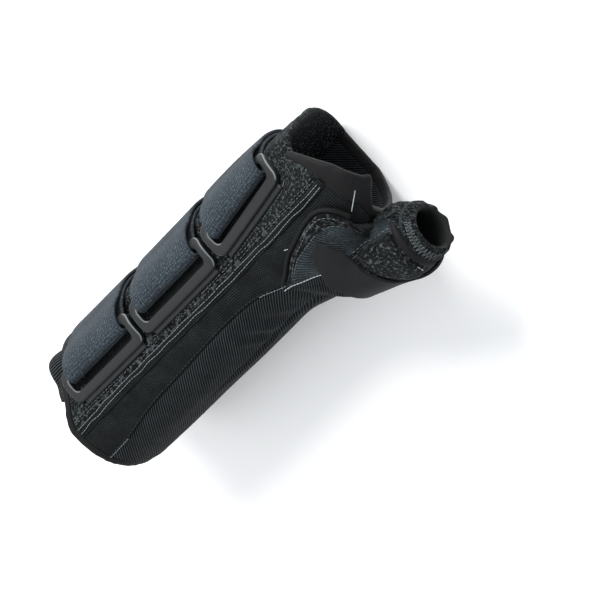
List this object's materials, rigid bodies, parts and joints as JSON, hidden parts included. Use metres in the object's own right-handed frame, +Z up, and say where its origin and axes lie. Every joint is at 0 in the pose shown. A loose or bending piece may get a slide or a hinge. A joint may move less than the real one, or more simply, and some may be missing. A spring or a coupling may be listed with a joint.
{
  "type": "thumb spica splint",
  "caption": "Padded wrist and thumb splint for a left hand, an open tube for the forearm and palm with a sleeve for the thumb, closed with slot buckles and straps.",
  "frame": {"origin": "under the middle of the splint's box, on the surface that it lies on", "axes": "+X from the forearm end to the hand end, +Y to the back of the hand, +Z up to the thumb side"},
  "size_m": [0.1848, 0.0872, 0.077],
  "materials": {
    "twill": "fine dark woven nylon, matt",
    "ribbed": "diagonally ribbed knit, matt",
    "loop": "fuzzy loop-faced laminate, matt",
    "elastic": "ribbed elastic, matt",
    "binding": "smooth stretch binding, slight sheen",
    "webbing": "loop-faced webbing, matt",
    "smooth": "smooth laminate, slight sheen",
    "plastic": "moulded nylon, satin"
  },
  "bodies": {
    "root": {"radial_panel": "twill", "volar_panel": "ribbed", "buckle_panel": "loop", "seam_tape": "twill", "dorsal_panel": "loop", "elastic_cuff": "elastic", "palm_binding": "binding", "proximal_binding": "binding", "buckle_proximal": "plastic", "buckle_middle": "plastic", "buckle_distal": "plastic", "strap_proximal": "webbing", "strap_middle": "webbing", "strap_distal": "webbing", "thumb_sleeve": "loop", "thumb_base_binding": "binding", "thumb_strap": "smooth", "thumb_patch": "loop", "thumb_rim_band": "smooth"}
  },
  "joints": []
}
